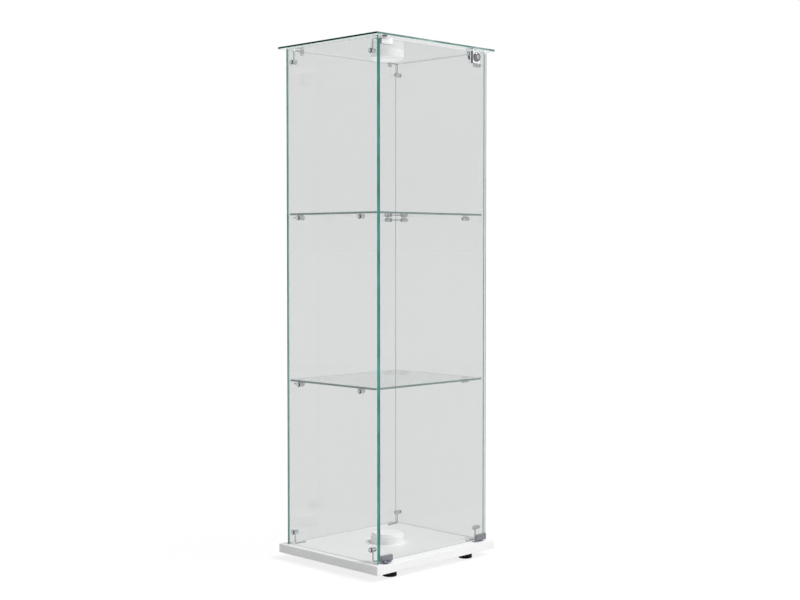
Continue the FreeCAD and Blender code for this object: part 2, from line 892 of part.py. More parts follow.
def make_clip(label, way):
    outline = channel_outline(slot_front, slot_back, s.clip_cheek, s.clip_web, s.clip_height, way)
    body = make_extruded(label, outline, s.clip_length)
    holes = new_sketch(body, "screw_holes", "XZ_Plane", -slot_back)
    for x in (s.clip_length / 4, s.clip_length * 3 / 4):
        draw_circle(holes, x, way * clip_screw_height, s.clip_screw_radius + s.fit_clearance)
    add_pocket(body, holes, s.clip_cheek + s.cut_overrun)
    return body


def round_clip(body):
    def picked(edge):
        box = edge.BoundBox
        along = math.isclose(box.XLength, s.clip_length.number, abs_tol=1e-4)
        return along and math.isclose(box.YMin, clip_front.number, abs_tol=1e-4)

    soften(body, "Fillet", s.clip_edge_round, picked)
    return body


def make_hinge_clip(label, way, z):
    body = round_clip(make_clip(label, way))
    lug = new_sketch(body, "lug", "XY_Plane")
    left = pivot_x - hinge_clip_x - s.lug_radius
    low = -s.pivot_forward - s.lug_radius
    right = left + s.lug_radius * 2 + s.lug_reach
    draw_rounded(lug, left, right, low, slot_front, s.lug_corner)
    add_pad(body, lug, s.lug_thickness, reverse=way < 0)
    hole = new_sketch(body, "pin_hole", "XY_Plane")
    draw_circle(hole, pivot_x - hinge_clip_x, -s.pivot_forward, s.pivot_radius + s.fit_clearance / 2)
    add_pocket(body, hole, s.lug_thickness + s.cut_overrun, reverse=way > 0)
    return place(body, hinge_clip_x, -half_y, z)


def make_strike_clip():
    return place(round_clip(make_clip("strike_clip", 1)), strike_clip_x, -half_y, lower_clip_z)


def clip_spots():
    return [
        (hinge_clip_x, lower_clip_z, AS_DRAWN, 1),
        (strike_clip_x, lower_clip_z, AS_DRAWN, 1),
        (hinge_clip_x, upper_clip_z, turn(RIGHT, -UP), -1),
    ]


# Liners are alike front and back, so they are drawn about the middle of the glass
def make_clip_liners():
    half = s.glass / 2
    outline = channel_outline(-half, half, s.clip_liner, s.clip_liner, s.clip_height - s.clip_web, 1)
    liner = make_extruded("clip_liner", outline, s.clip_length)
    copies = []
    for x, z, rotation, way in clip_spots():
        copies.append((liner, x, door_middle_y, z + way * s.clip_web, rotation))
    return make_group("clip_liners", copies)


def make_clip_screws():
    length = s.clip_cheek + s.clip_screw_proud
    screw = make_grub("clip_screw", s.clip_screw_radius, as_size(0), length)
    copies = []
    for x, z, _, way in clip_spots():
        for along in (s.clip_length / 4, s.clip_length * 3 / 4):
            height = z + way * clip_screw_height
            copies.append((screw, x + along, slot_back - half_y, height, TO_BACK_RIGHT))
    return make_group("clip_screws", copies)


# Pivots: a headed pin in each lug runs in a flanged bush in the base board and in the top glass
def make_hinge_pins():
    head = -s.lug_thickness
    outline = [
        (0, head - s.pivot_head_height),
        (s.pivot_head_radius, head - s.pivot_head_height),
        (s.pivot_head_radius, head),
        (s.pivot_radius, head),
        (s.pivot_radius, s.clip_gap + s.pivot_depth - s.pivot_radius / 4),
        (s.pivot_radius * 3 / 4, s.clip_gap + s.pivot_depth),
        (0, s.clip_gap + s.pivot_depth),
    ]
    pin = make_turned("hinge_pin", outline)
    return make_group("hinge_pins", [
        (pin, pivot_x, pivot_y, lower_clip_z, DOWNWARD),
        (pin, pivot_x, pivot_y, upper_clip_z, AS_DRAWN),
    ])


def make_pivot_bushes():
    bore = s.pivot_radius + s.fit_clearance
    flange = s.pivot_play - s.clip_gap
    outline = [
        (bore, flange),
        (s.bush_flange_radius, flange),
        (s.bush_flange_radius, 0),
        (bush_radius, 0),
        (bush_radius, s.glass),
        (bore, s.glass),
    ]
    bush = make_turned("pivot_bush", outline)
    return make_group("pivot_bushes", [
        (bush, pivot_x, pivot_y, base_top, DOWNWARD),
        (bush, pivot_x, pivot_y, ceiling, AS_DRAWN),
    ])


def make_door_magnet():
    top = s.clip_gap - s.magnet_gap
    outline = [
        (0, -s.magnet_depth),
        (s.magnet_radius, -s.magnet_depth),
        (s.magnet_radius, top - s.magnet_rim),
        (s.magnet_radius - s.magnet_rim, top),
        (0, top),
    ]
    return place(make_turned("door_magnet", outline), magnet_x, door_middle_y, base_top)


# Lock, drawn with its own Z pointing out of the door and zero on the door's front face
def make_lock_body():
    round_start = lock_face - s.lock_boss_round
    outline = [
        (lock_bore_radius, -lock_back),
        (s.lock_barrel_radius, -lock_back),
        (s.lock_barrel_radius, 0),
        (s.lock_boss_radius, 0),
        (s.lock_boss_radius, round_start),
        (s.lock_boss_radius - s.lock_boss_round, lock_face),
        (lock_bore_radius, lock_face),
    ]
    body = make_turned("lock_body", outline)
    plate = new_sketch(body, "plate", "XY_Plane")
    x, y = s.lock_plate_width / 2, s.lock_plate_height / 2
    draw_rounded(plate, -x, x, -y, y, s.lock_plate_corner)
    draw_circle(plate, 0, 0, lock_bore_radius)
    add_pad(body, plate, s.lock_plate_thickness)
    return place(body, lock_x, -half_y, lock_z, FACING_FRONT)


def make_lock_nut():
    body = new_body("lock_nut")
    sketch = new_sketch(body, "outline", "XY_Plane")
    apothem = s.lock_nut_width / 2
    corner = apothem / math.cos(math.pi / 6)
    points = []
    for step in range(6):
        angle = math.pi / 6 + step * math.pi / 3
        points.append((corner * round(math.cos(angle), 12), corner * round(math.sin(angle), 12)))
    draw_outline(sketch, points)
    draw_circle(sketch, 0, 0, s.lock_barrel_radius + s.fit_clearance)
    add_pad(body, sketch, s.lock_nut_thickness)
    return place(body, lock_x, s.glass - half_y, lock_z, TO_BACK_LEFT)


def make_lock_plug():
    head = lock_face - s.lock_plug_recess
    bore = s.cam_screw_radius + s.fit_clearance
    outline = [
        (0, s.cam_screw_reach - cam_back),
        (bore, s.cam_screw_reach - cam_back),
        (bore, -cam_back),
        (s.cam_neck_radius, -cam_back),
        (s.cam_neck_radius, -cam_front),
        (s.lock_plug_radius, -cam_front),
        (s.lock_plug_radius, head),
        (0, head),
    ]
    body = make_turned("lock_plug", outline)
    slot = new_sketch(body, "key_slot", "XY_Plane", head)
    u, v = s.key_slot_width / 2, s.key_slot_length / 2
    draw_outline(slot, [(-u, -v), (u, -v), (u, v), (-u, v)])
    add_pocket(body, slot, s.key_slot_depth)
    return place(body, lock_x, -half_y, lock_z, FACING_FRONT)


# The cam points left at rest and turns up behind the strike
def make_lock_cam():
    body = new_body("lock_cam")
    sketch = new_sketch(body, "outline", "XY_Plane")
    half = s.cam_width / 2
    draw_rounded(sketch, -s.cam_reach, half, -half, half, s.cam_corner)
    draw_circle(sketch, 0, 0, s.cam_neck_radius + s.fit_clearance)
    add_pad(body, sketch, s.cam_thickness)
    return place(body, lock_x, cam_back - half_y, lock_z, FACING_FRONT)


def make_cam_screw():
    sizes = (s.cam_screw_radius, s.cam_screw_head_radius, s.cam_screw_head_height)
    screw = make_screw("cam_screw", *sizes, s.cam_screw_reach - s.cam_screw_radius)
    return place(screw, lock_x, cam_back - half_y, lock_z, FACING_FRONT)


def make_lock_strike():
    front = s.glass + s.lock_nut_thickness + s.strike_gap
    outline = [
        (front, -s.strike_drop),
        (front + s.strike_thickness, -s.strike_drop),
        (front + s.strike_thickness, -s.strike_thickness),
        (front + s.strike_depth, -s.strike_thickness),
        (front + s.strike_depth, 0),
        (front, 0),
    ]
    strike = make_extruded("lock_strike", outline, s.strike_width)
    return place(strike, lock_x - s.strike_width / 2, -half_y, ceiling)


# Puck lights, drawn standing on their back: back cover, ring, pressed lens, board and cells
lens_radius = s.light_radius - s.light_wall - s.light_lens_flange
ring_top = s.light_height - s.light_lens_proud
lip_bottom = ring_top - s.light_lip_depth
cover_radius = s.light_radius - s.light_wall - s.light_board_gap
cell_axis_z = s.light_back_thickness + s.battery_radius
board_z = cell_axis_z + s.battery_radius + s.battery_gap
lens_inside = s.light_height - s.light_lens_wall


def around(count, radius, start=0.25):
    spots = []
    for number in range(count):
        angle = 2 * math.pi * (start + number / count)
        spots.append((radius * round(math.cos(angle), 12), radius * round(math.sin(angle), 12)))
    return spots


def make_light_back(label):
    body = make_turned(label, [
        (0, 0),
        (cover_radius, 0),
        (cover_radius, s.light_back_thickness),
        (0, s.light_back_thickness),
    ])
    posts = new_sketch(body, "standoffs", "XY_Plane")
    for spot in around(STANDOFF_COUNT, s.light_standoff_circle):
        draw_circle(posts, *spot, s.light_standoff_radius)
    add_pad(body, posts, board_z)
    return body


def make_light_ring(label):
    inside = s.light_radius - s.light_wall
    lip = lens_radius + s.light_lens_gap
    body = make_turned(label, [
        (inside, 0),
        (s.light_radius, 0),
        (s.light_radius, ring_top),
        (lip, ring_top),
        (lip, lip_bottom),
        (inside, lip_bottom),
    ])
    soften(body, "Fillet", s.light_rim_round, circle_at(s.light_radius, ring_top))
    return body


def make_light_lens(label):
    flange = s.light_radius - s.light_wall - s.light_lens_gap
    foot = lip_bottom - s.light_lens_gap - s.light_lens_wall
    inside = lens_radius - s.light_lens_wall
    body = make_turned(label, [
        (inside, foot),
        (flange, foot),
        (flange, foot + s.light_lens_wall),
        (lens_radius, foot + s.light_lens_wall),
        (lens_radius, s.light_height),
        (0, s.light_height),
        (0, lens_inside),
        (inside, lens_inside),
    ])
    soften(body, "Fillet", s.light_lens_round, circle_at(lens_radius, s.light_height))
    return body


def make_light_board(label):
    body = make_turned(label, [
        (0, board_z),
        (s.light_board_radius, board_z),
        (s.light_board_radius, board_z + s.light_board_thickness),
        (0, board_z + s.light_board_thickness),
    ])
    switch = new_sketch(body, "switch", "XY_Plane", board_z)
    half = s.light_switch_width / 2
    draw_outline(switch, [(-half, -half), (half, -half), (half, half), (-half, half)])
    add_pad(body, switch, lens_inside - s.light_press - s.light_board_gap - board_z)
    leds = new_sketch(body, "leds", "XY_Plane", board_z)
    for spot in around(LED_COUNT, s.light_led_circle):
        draw_circle(leds, *spot, s.light_led_radius)
    add_pad(body, leds, s.light_board_thickness + s.light_led_height)
    return body


def make_battery():
    tip = s.battery_length / 2
    return make_turned("battery_cell", [
        (0, -tip),
        (s.battery_radius, -tip),
        (s.battery_radius, tip),
        (s.battery_tip_radius, tip),
        (s.battery_tip_radius, tip + s.battery_tip_height),
        (0, tip + s.battery_tip_height),
    ])


def make_lights():
    cell = make_battery()
    pitch = 2 * s.battery_radius + s.battery_gap
    makers = {
        "back": make_light_back,
        "ring": make_light_ring,
        "lens": make_light_lens,
        "board": make_light_board,
    }
    pieces = []
    for name, z, way, rotation in (("lower", base_top, 1, AS_DRAWN), ("upper", ceiling, -1, DOWNWARD)):
        for piece, maker in makers.items():
            pieces.append(place(maker(f"{name}_light_{piece}"), 0, 0, z, rotation))
        copies = []
        for number in range(BATTERY_COUNT):
            y = pitch * (number - (BATTERY_COUNT - 1) / 2)
            facing = turn(UP, RIGHT) if number % 2 else turn(UP, -RIGHT)
            copies.append((cell, 0, y, z + way * cell_axis_z, facing))
        pieces.append(make_group(f"{name}_light_cells", copies))
    return pieces


def build():
    pieces = [
        make_base_board(),
        make_side_panel("left_panel", -half_x, -half_y),
        make_side_panel("right_panel", inner_x, s.glass + s.door_stop_gap - half_y),
        make_back_panel(),
        make_top_panel(),
        make_shelf("lower_shelf", lower_shelf_z),
        make_shelf("upper_shelf", upper_shelf_z),
        make_door_glass(),
        make_foot_screws(),
        make_grommets(),
        make_panel_screws(),
        make_post_grubs(),
        make_ceiling_pads(),
        make_shelf_pads(),
        make_base_rod_screws(),
        make_hinge_clip("lower_hinge_clip", 1, lower_clip_z),
        make_hinge_clip("upper_hinge_clip", -1, upper_clip_z),
        make_strike_clip(),
        make_clip_liners(),
        make_clip_screws(),
        make_hinge_pins(),
        make_pivot_bushes(),
        make_door_magnet(),
        make_lock_body(),
        make_lock_nut(),
        make_lock_plug(),
        make_lock_cam(),
        make_cam_screw(),
        make_lock_strike(),
    ]
    pieces += [make_foot(label, *spot) for label, spot in foot_places.items()]
    pieces += make_posts()
    pieces += make_rods()
    pieces += make_lights()
    doc.recompute()
    return pieces


def check(pieces):
    for item in doc.Objects:
        if "Invalid" in item.State or "Error" in item.State:
            raise RuntimeError(f"{item.Label} failed: {item.State}")
    for piece in pieces:
        if piece.Shape.isNull() or not piece.Shape.isValid():
            raise RuntimeError(f"{piece.Label} has no valid shape")


parts = build()
check(parts)
os.makedirs("parts", exist_ok=True)
for part in parts:
    part.Shape.exportStep(f"parts/{part.Label}.step")
print(len(parts), "pieces written")
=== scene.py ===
import math

import bmesh
import bpy
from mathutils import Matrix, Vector


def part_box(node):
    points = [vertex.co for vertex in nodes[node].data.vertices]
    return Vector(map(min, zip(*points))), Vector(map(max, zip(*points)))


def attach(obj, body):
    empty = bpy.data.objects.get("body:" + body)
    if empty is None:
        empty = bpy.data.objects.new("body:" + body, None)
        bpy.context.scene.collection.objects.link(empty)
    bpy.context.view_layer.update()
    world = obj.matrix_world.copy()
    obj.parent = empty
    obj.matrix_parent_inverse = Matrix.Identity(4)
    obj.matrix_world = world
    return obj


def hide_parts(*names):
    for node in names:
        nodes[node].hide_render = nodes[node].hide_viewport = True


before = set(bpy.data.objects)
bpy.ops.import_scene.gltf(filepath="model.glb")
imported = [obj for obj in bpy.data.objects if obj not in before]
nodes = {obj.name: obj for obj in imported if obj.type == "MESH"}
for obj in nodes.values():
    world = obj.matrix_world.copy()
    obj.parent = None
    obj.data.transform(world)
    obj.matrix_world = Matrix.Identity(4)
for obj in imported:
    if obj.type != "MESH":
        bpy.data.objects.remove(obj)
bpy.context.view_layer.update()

# Lengths are in metres and angles in degrees, unless a line says otherwise
AXES = (Vector((1, 0, 0)), Vector((0, 1, 0)), Vector((0, 0, 1)))
SIDES = {
    (0, -1): "left", (0, 1): "right",
    (1, -1): "front", (1, 1): "back",
    (2, -1): "bottom", (2, 1): "top",
}
SQUARE = 0.99  # cosine from which a face or an edge counts as square to a sheet
HAIR = 1e-5  # slack for points that lie in one plane
SAME_POINT = 1e-6

# Camera: the photograph's view, from the front left corner at about the height of the upper shelf
CAMERA_PLACE = (-2.4419, -2.4877, 0.8032)
CAMERA_TILT = 90 - 2.222
CAMERA_TURN = -45.014
CAMERA_LENS = 60.8  # mm
CAMERA_SENSOR = 36  # mm
CAMERA_REACH = 600

# Light
SUN_TOWARDS = (0.22, -0.44, 0.83)
SUN_PLACE = (0, 0, 3)
SUN_STRENGTH = 2.9
SUN_ANGLE = 36
AMBIENT_COLOUR = (0.97, 0.98, 1.0, 1)
AMBIENT_STRENGTH = 0.28
WHITE = (1, 1, 1, 1)
FLOOR_SIZE = 400
FLOOR_DARK = (0.85, 0.85, 0.85)
FLOOR_LIGHT = (0.87, 0.87, 0.87)
FLOOR_CLOUD = 0.6
FLOOR_ROUGHNESS = 0.9
FLOOR_GLOW = 1.03
FLOOR_GLOW_SHARE = 0.8
CLEAR_BOUNCES = 32
GLOSSY_BOUNCES = 12

# Shaders: the range that noise keeps to, and the sockets of the colour mix, which has twins for other values
NOISE_LOW, NOISE_HIGH = 0.3, 0.7
MIX_SHARE, MIX_FIRST, MIX_SECOND, MIX_RESULT = 0, 6, 7, 2
GLASS_IOR = 1.5
EDGE_ROUGHNESS = (0.08, 0.22)
EDGE_RELIEF = (0.1, 0.0002)

# Glass sheets
WALL_CORNER = 0.0015
PLATE_CORNER = 0.004
CORNER_STEPS = 6
ARRIS = 0.0006
ARRIS_STEPS = 2
ARRIS_LEAN = 0.2  # faces that lean more than this towards the face of the sheet belong to its arris
SCREW_HOLE = 0.0034
PIVOT_HOLE = 0.0042
LOCK_HOLE = 0.0083
HOLE_SIDES = 32
DRILL_LENGTH = 3  # times the thickness of the sheet
SIDE_SCREWS = 0.185  # screws farther from the middle go through a side wall
BACK_SCREWS = 0.158  # screws farther back go through the back wall

# Lock
LOCK_PLATE_DEPTH = 0.007
LOCK_PLATE_CORNER = 0.0025
LOCK_PLATE_CORNER_STEPS = 5
LOCK_PLATE_RIM = 0.0008
LOCK_PLATE_RIM_STEPS = 3
LOCK_BOSS_RADIUS = 0.012
LOCK_BOSS_DOME = 0.0052
LOCK_BOSS_DOME_STEPS = 7
LOCK_BARREL_RADIUS = 0.008
LOCK_BORE_RADIUS = 0.0056
LOCK_OVERLAP = 0.001  # how far boss and barrel reach into the plate
LOCK_BORE_EXCESS = 0.01
LOCK_BOSS_START = 0.0002  # faces farther in front of the plate belong to the boss
# Plate faces that don't look to the front take the dark chrome, as painted shade
LOCK_PAINTED_SHADE_TILT = -0.5  # faces with a lower y of their normal look to the front
LOCK_SMOOTH_ANGLE = 30
ROD_SIDES = 64


def add_camera():
    data = bpy.data.cameras.new("camera")
    data.lens = CAMERA_LENS
    data.sensor_width = CAMERA_SENSOR
    data.clip_end = CAMERA_REACH
    camera = bpy.data.objects.new("camera", data)
    camera.location = CAMERA_PLACE
    camera.rotation_euler = (math.radians(CAMERA_TILT), 0, math.radians(CAMERA_TURN))
    bpy.context.scene.collection.objects.link(camera)
    bpy.context.scene.camera = camera


# Node helpers
def set_inputs(node, values):
    for name, value in values.items():
        node.inputs[name].default_value = value


def add_node(tree, kind, inputs=None, **settings):
    node = tree.nodes.new(kind)
    for name, value in settings.items():
        setattr(node, name, value)
    set_inputs(node, inputs or {})
    return node


def join(tree, source, output, target, name):
    tree.links.new(source.outputs[output], target.inputs[name])


def add_spread(tree, source, output, low, high):
    limits = {"From Min": NOISE_LOW, "From Max": NOISE_HIGH, "To Min": low, "To Max": high}
    spread = add_node(tree, "ShaderNodeMapRange", limits)
    join(tree, source, output, spread, "Value")
    return spread


def add_either(tree, first, first_output, second, second_output):
    either = add_node(tree, "ShaderNodeMath", operation="MAXIMUM")
    join(tree, first, first_output, either, 0)
    join(tree, second, second_output, either, 1)
    return either


# End a tree in a mix of two shaders
def mix_shaders(tree, share, first, second, end):
    mix = add_node(tree, "ShaderNodeMixShader")
    join(tree, share, "Value", mix, "Fac")
    join(tree, first, 0, mix, 1)
    join(tree, second, 0, mix, 2)
    join(tree, mix, "Shader", tree.nodes[end], "Surface")


def new_group(name, inputs, outputs):
    group = bpy.data.node_groups.new(name, "ShaderNodeTree")
    for label, kind, default in inputs:
        socket = group.interface.new_socket(label, in_out="INPUT", socket_type=kind)
        if default is not None:
            socket.default_value = default
    for label, kind in outputs:
        group.interface.new_socket(label, in_out="OUTPUT", socket_type=kind)
    return group, group.nodes.new("NodeGroupInput"), group.nodes.new("NodeGroupOutput")


# Cloudy change of shade over a surface, with a finer grain for its relief
def make_mottle_group():
    group, start, end = new_group(
        "mottle",
        [
            ("Place", "NodeSocketVector", None),
            ("Scale", "NodeSocketFloat", 20.0),
            ("Grain Scale", "NodeSocketFloat", 400.0),
        ],
        [("Shade", "NodeSocketFloat"), ("Grain", "NodeSocketFloat")],
    )
    cloud = add_node(group, "ShaderNodeTexNoise", {"Detail": 4.0, "Roughness": 0.55})
    join(group, start, "Place", cloud, "Vector")
    join(group, start, "Scale", cloud, "Scale")
    shade = add_spread(group, cloud, "Fac", 0.0, 1.0)
    grain = add_node(group, "ShaderNodeTexNoise", {"Detail": 2.0, "Roughness": 0.6})
    join(group, start, "Place", grain, "Vector")
    join(group, start, "Grain Scale", grain, "Scale")
    join(group, shade, "Result", end, "Shade")
    join(group, grain, "Fac", end, "Grain")
    return group


# Fine lines along one direction, as a brush or a polishing belt leaves them
def make_brush_group():
    group, start, end = new_group(
        "brush_lines",
        [
            ("Place", "NodeSocketVector", None),
            ("Stretch", "NodeSocketVector", (30.0, 900.0, 900.0)),
        ],
        [("Shade", "NodeSocketFloat"), ("Line", "NodeSocketFloat")],
    )
    stretch = add_node(group, "ShaderNodeVectorMath", operation="MULTIPLY")
    join(group, start, "Place", stretch, 0)
    join(group, start, "Stretch", stretch, 1)
    line = add_node(group, "ShaderNodeTexNoise", {"Scale": 1.0, "Detail": 3.0, "Roughness": 0.6})
    join(group, stretch, "Vector", line, "Vector")
    shade = add_spread(group, line, "Fac", 0.0, 1.0)
    join(group, shade, "Result", end, "Shade")
    join(group, line, "Fac", end, "Line")
    return group


MOTTLE = make_mottle_group()
BRUSH = make_brush_group()


# Parts of a material
def new_material(name, inputs):
    material = bpy.data.materials.new(name)
    material.use_nodes = True
    tree = material.node_tree
    surface = tree.nodes["Principled BSDF"]
    set_inputs(surface, inputs)
    place = add_node(tree, "ShaderNodeTexCoord")
    return material, tree, surface, place


def add_group(tree, place, group, inputs):
    node = add_node(tree, "ShaderNodeGroup", inputs, node_tree=group)
    join(tree, place, "Object", node, "Place")
    return node


def shade_colour(tree, surface, dark, light, source):
    ends = {MIX_FIRST: (*dark, 1), MIX_SECOND: (*light, 1)}
    mix = add_node(tree, "ShaderNodeMix", ends, data_type="RGBA")
    join(tree, source, "Shade", mix, MIX_SHARE)
    join(tree, mix, MIX_RESULT, surface, "Base Color")


def shade_roughness(tree, surface, low, high, source, output):
    spread = add_spread(tree, source, output, low, high)
    join(tree, spread, "Result", surface, "Roughness")


def add_relief(tree, surface, strength, depth, source, output):
    bump = add_node(tree, "ShaderNodeBump", {"Strength": strength, "Distance": depth})
    join(tree, source, output, bump, "Height")
    join(tree, bump, "Normal", surface, "Normal")


# A plain moulded, painted or laminated finish with cloudy shade and fine relief
def cloudy_finish(name, dark, light, roughness, mottle, relief, extra=None):
    material, tree, surface, place = new_material(name, extra or {})
    cloud = add_group(tree, place, MOTTLE, mottle)
    shade_colour(tree, surface, dark, light, cloud)
    shade_roughness(tree, surface, *roughness, cloud, "Grain")
    add_relief(tree, surface, *relief, cloud, "Grain")
    return material


# A finish with fine lines: brushed or polished metal, or the ground edges of glass
def lined_finish(name, dark, light, roughness, stretch, relief, extra):
    material, tree, surface, place = new_material(name, extra)
    line = add_group(tree, place, BRUSH, {"Stretch": stretch})
    shade_colour(tree, surface, dark, light, line)
    shade_roughness(tree, surface, *roughness, line, "Line")
    add_relief(tree, surface, *relief, line, "Line")
    return material


def metal_finish(name, dark, light, roughness, stretch, relief):
    return lined_finish(name, dark, light, roughness, stretch, relief, {"Metallic": 1.0})


# Ground and polished glass edges: the body colour of the glass, in streaks along the edge. Each edge finish is
# a lighter or darker copy of it, painted light and shade for the side of the sheet where it is used.
def edge_finish(name, dark, light, stretch, gloss=0.5):
    inputs = {"IOR": GLASS_IOR, "Specular IOR Level": gloss}
    return lined_finish(name, dark, light, EDGE_ROUGHNESS, stretch, EDGE_RELIEF, inputs)


# Light that goes to or from dull surfaces passes straight through the clear pieces
def let_light_through(tree, surface, tint):
    path = add_node(tree, "ShaderNodeLightPath")
    dull = add_either(tree, path, "Is Shadow Ray", path, "Is Diffuse Ray")
    clear = add_node(tree, "ShaderNodeBsdfTransparent", {"Color": (*tint, 1)})
    mix_shaders(tree, dull, surface, clear, "Material Output")


def clear_finish(name, dark, light, roughness, tint, scale):
    inputs = {"Transmission Weight": 1.0, "IOR": GLASS_IOR, "Roughness": roughness}
    material, tree, surface, place = new_material(name, inputs)
    film = add_group(tree, place, MOTTLE, {"Scale": scale})
    shade_colour(tree, surface, dark, light, film)
    let_light_through(tree, surface, tint)
    return material


# The lights' white housing and frosted lens. The housing is no lamp: its glow is painted light on its shaded
# sides. The lens glows as the lamp, and its glow also lifts its shade. Both glow more on the upper light,
# which hangs in shade under the top, and only faintly on the lower one.
def light_ring_painted_glow_finish(name, glow):
    return cloudy_finish(
        name, (0.89, 0.89, 0.895), (0.92, 0.92, 0.925), (0.28, 0.40),
        {"Scale": 30.0, "Grain Scale": 1600.0}, (0.04, 0.0002), {"Emission Strength": glow})


def light_lens_finish(name, glow):
    depth = (0.004, 0.004, 0.004)
    return cloudy_finish(
        name, (0.90, 0.90, 0.90), (0.93, 0.93, 0.93), (0.42, 0.55),
        {"Scale": 40.0, "Grain Scale": 2200.0}, (0.08, 0.0002),
        {"Subsurface Weight": 0.15, "Subsurface Radius": depth, "Emission Strength": glow})


# Each finish: name, dark and light body colour, lowest and highest roughness, size of its pattern,
# strength and depth of its relief. The stretches say how fine the lines are along x, y and z.
def make_finishes():
    even = (20.0, 20.0, 20.0)
    fine = (200.0, 200.0, 200.0)
    along = (60.0, 60.0, 900.0)
    brushed = (40.0, 900.0, 900.0)
    around = (900.0, 60.0, 60.0)
    pane_tint = (0.995, 0.996, 0.996)
    pane_cloud = 1.5
    return {
        "pane": clear_finish(
            "clear_pane", (0.805, 0.818, 0.812), (0.82, 0.833, 0.828), 0.0, pane_tint, pane_cloud),
        "shelf": clear_finish(
            "clear_shelf", (0.765, 0.777, 0.78), (0.78, 0.792, 0.795), 0.0, pane_tint, pane_cloud),
        "clear": clear_finish(
            "clear_plastic", (0.80, 0.83, 0.83), (0.88, 0.91, 0.90), 0.2, (0.95, 0.96, 0.96), 60.0),
        # Glass edges: lighter and darker copies of the teal edge colour, painted light and shade by side of
        # each sheet; the white copy lifts the shade where sheets bed on the base and under the top
        "edge": edge_finish("edge_teal", (0.018, 0.155, 0.136), (0.055, 0.29, 0.257), even),
        "edge_dark": edge_finish("edge_deep_teal", (0.001, 0.022, 0.018), (0.006, 0.050, 0.044), even, 0.05),
        "edge_deep": edge_finish("edge_full_teal", (0.003, 0.10, 0.088), (0.010, 0.165, 0.147), even, 0.15),
        "edge_light": edge_finish("edge_light_teal", (0.025, 0.25, 0.207), (0.08, 0.46, 0.382), even),
        "edge_mint": edge_finish("edge_mint", (0.34, 0.77, 0.71), (0.46, 0.87, 0.81), even),
        "edge_faint": edge_finish("edge_faint_teal", (0.58, 0.79, 0.755), (0.70, 0.87, 0.845), even),
        "edge_mid": edge_finish("edge_mid_teal", (0.05, 0.125, 0.115), (0.31, 0.43, 0.405), even),
        "edge_grey": edge_finish("edge_grey_teal", (0.14, 0.205, 0.20), (0.21, 0.29, 0.28), even),
        "edge_soft": edge_finish("edge_soft_grey", (0.31, 0.385, 0.375), (0.43, 0.52, 0.505), even),
        "edge_pale": edge_finish("edge_pale", (0.56, 0.62, 0.61), (0.70, 0.765, 0.755), even),
        "edge_white": edge_finish("edge_white", (0.76, 0.79, 0.785), (0.84, 0.87, 0.865), even),
        # The lock's chrome in two copies: a bright one for the plate's front and the inner lock parts, a
        # painted bright reflection, and a dark one for the boss and the plate's sides, painted shade and
        # painted dark reflection
        "polished": metal_finish(
            "chrome_painted_bright_reflection", (0.84, 0.845, 0.86), (0.93, 0.935, 0.945), (0.06, 0.13), along, (0.03, 0.0002)),
        "boss": metal_finish(
            "chrome_painted_dark_reflection", (0.13, 0.135, 0.145), (0.24, 0.245, 0.26), (0.05, 0.12), along, (0.03, 0.0002)),
        "chrome": metal_finish(
            "chrome_plate", (0.50, 0.505, 0.52), (0.66, 0.665, 0.68), (0.05, 0.14), along, (0.04, 0.0002)),
        # The rods take a darker copy of the posts' chrome: painted shade
        "rod": metal_finish(
            "chrome_rod", (0.34, 0.345, 0.36), (0.47, 0.475, 0.49), (0.06, 0.15), fine, (0.04, 0.0002)),
        "steel": metal_finish(
            "zinc_steel", (0.42, 0.43, 0.44), (0.56, 0.57, 0.58), (0.18, 0.34), fine, (0.08, 0.0002)),
        # The clips' nickel in two copies: dark for the lower hinge clip and the strike clip, a painted dark
        # reflection, and bright for the upper hinge clip, a painted bright reflection
        "nickel_painted_dark": metal_finish(
            "nickel_painted_dark_reflection", (0.20, 0.205, 0.235), (0.28, 0.285, 0.32), (0.30, 0.42), brushed, (0.12, 0.0002)),
        "nickel_painted_bright": metal_finish(
            "nickel_painted_bright_reflection", (0.86, 0.86, 0.87), (0.95, 0.95, 0.955), (0.40, 0.52), brushed, (0.12, 0.0002)),
        "cell": metal_finish(
            "cell_can", (0.05, 0.055, 0.065), (0.10, 0.105, 0.12), (0.25, 0.4), around, (0.05, 0.0002)),
        # Housings and lenses of the lights: a painted glow that lifts their shaded sides, stronger on the
        # upper light
        "moulding": light_ring_painted_glow_finish("white_moulding_painted_glow", 0.08),
        "moulding_more_painted_glow": light_ring_painted_glow_finish("housing_more_painted_glow", 0.15),
        "lens": light_lens_finish("frosted_lens", 0.05),
        "lens_lit": light_lens_finish("lit_lens", 0.22),
        # The clip liners are pale grey so that the shaded channel inside each clip looks lighter: painted
        # light
        "liner": cloudy_finish(
            "pale_liner_painted_light", (0.50, 0.50, 0.51), (0.58, 0.58, 0.59), (0.45, 0.6),
            {"Scale": 90.0, "Grain Scale": 1500.0}, (0.08, 0.0002)),
        "laminate": cloudy_finish(
            "white_laminate", (0.84, 0.84, 0.838), (0.87, 0.87, 0.868), (0.36, 0.48),
            {"Scale": 14.0, "Grain Scale": 1400.0}, (0.05, 0.0003)),
        "foot": cloudy_finish(
            "black_foot", (0.003, 0.003, 0.0035), (0.007, 0.007, 0.0075), (0.55, 0.75),
            {"Scale": 60.0, "Grain Scale": 900.0}, (0.2, 0.0004), {"Specular IOR Level": 0.15}),
        "dark": cloudy_finish(
            "dark_moulding", (0.09, 0.087, 0.094), (0.14, 0.136, 0.145), (0.38, 0.55),
            {"Scale": 80.0, "Grain Scale": 1200.0}, (0.15, 0.0003)),
        "board": cloudy_finish(
            "circuit_board", (0.02, 0.10, 0.04), (0.04, 0.17, 0.07), (0.3, 0.5),
            {"Scale": 90.0, "Grain Scale": 700.0}, (0.1, 0.0003)),
    }


